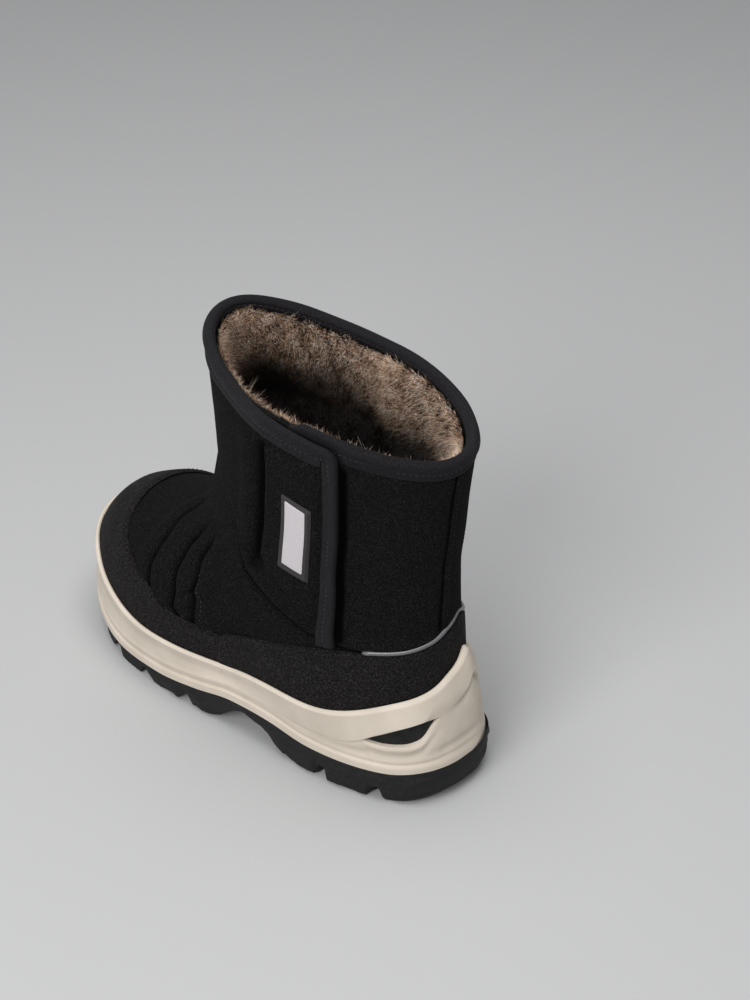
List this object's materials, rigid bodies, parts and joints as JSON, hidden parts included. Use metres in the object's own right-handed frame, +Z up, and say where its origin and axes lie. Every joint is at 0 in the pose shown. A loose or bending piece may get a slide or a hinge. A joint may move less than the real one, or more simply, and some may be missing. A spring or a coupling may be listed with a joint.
{
  "type": "snow boot",
  "caption": "Left pull-on snow boot: padded soft-shell upper with deep fur, suede rand and counter, side closure flap, sculpted cup midsole and lugged outsole.",
  "frame": {"origin": "on the ground under the middle of the boot's bounding box", "axes": "+X from heel to toe, +Y to the lateral side, +Z up"},
  "size_m": [0.2424, 0.1007, 0.2071],
  "materials": {
    "outsole_rubber": "matte moulded rubber with a light bloom",
    "midsole_foam": "smooth moulded foam with fine grooves",
    "window_rubber": "matte rubber",
    "fur": "thick grizzled pile",
    "soft_shell": "brushed stretch fabric over padding",
    "suede": "speckled synthetic nubuck",
    "reflective": "reflective tape",
    "tape": "folded knit binding tape",
    "label": "woven label, plain"
  },
  "bodies": {
    "root": {"outsole": "outsole_rubber", "midsole": "midsole_foam", "window_insert_lateral": "window_rubber", "window_insert_medial": "window_rubber", "insole": "fur", "upper": "soft_shell", "front_rand": "suede", "heel_counter": "suede", "reflective_piping": "reflective", "collar_tape": "tape", "closure_flap": "soft_shell", "flap_tape": "tape"}
  },
  "joints": []
}
